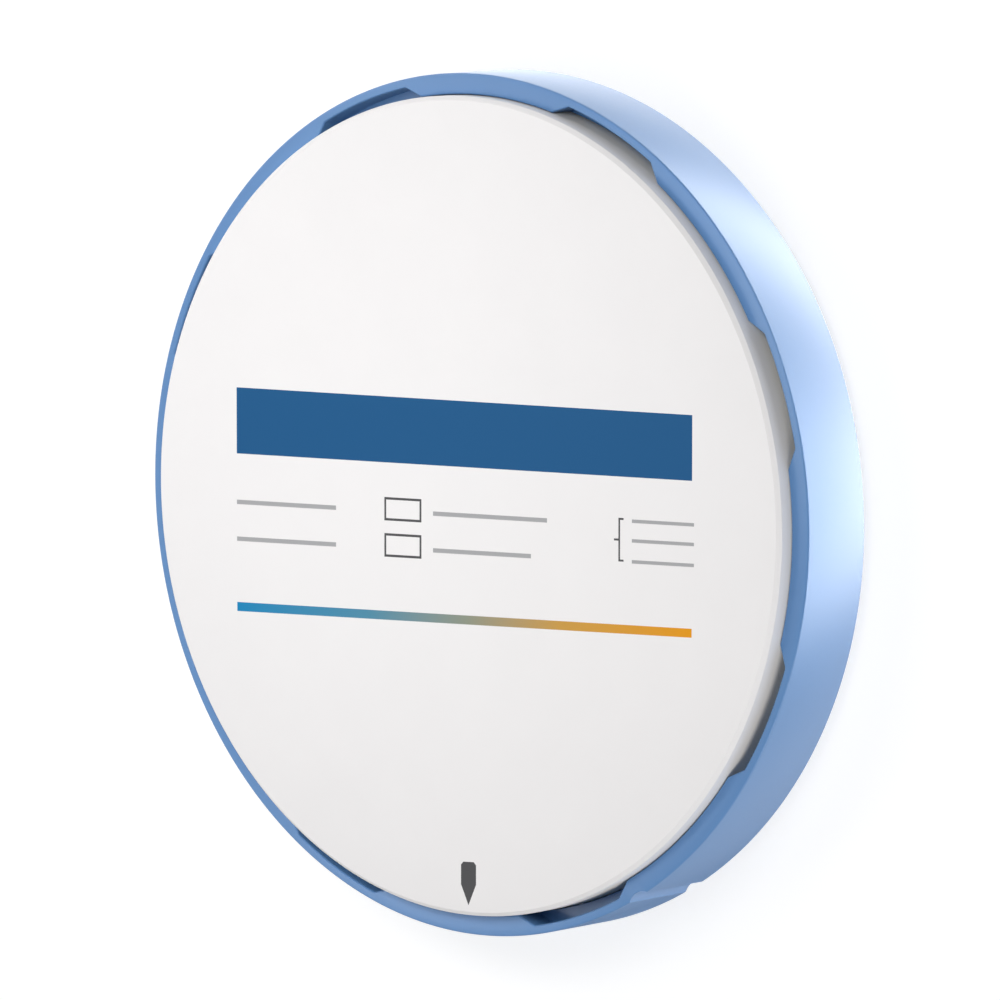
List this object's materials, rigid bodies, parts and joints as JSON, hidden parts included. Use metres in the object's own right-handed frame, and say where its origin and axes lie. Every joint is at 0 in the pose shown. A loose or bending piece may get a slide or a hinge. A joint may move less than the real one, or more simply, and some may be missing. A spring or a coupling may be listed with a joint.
{
  "type": "dental milling disc",
  "caption": "Round ceramic milling blank with bevelled faces, held in a moulded plastic ring that has pockets along its bore and a shallow groove across its rim.",
  "frame": {"origin": "centre of the blank's back face, which lies on the floor", "axes": "+Z along the disc's axis, out of the printed face; +X along the printed band, to its right"},
  "size_m": [0.0984, 0.0984, 0.014],
  "materials": {
    "zirconia": "matt, chalky pre-sintered ceramic with a printed face",
    "ring_plastic": "satin moulded plastic"
  },
  "bodies": {
    "root": {"zirconia_blank": "zirconia", "holder_ring": "ring_plastic"}
  },
  "joints": []
}
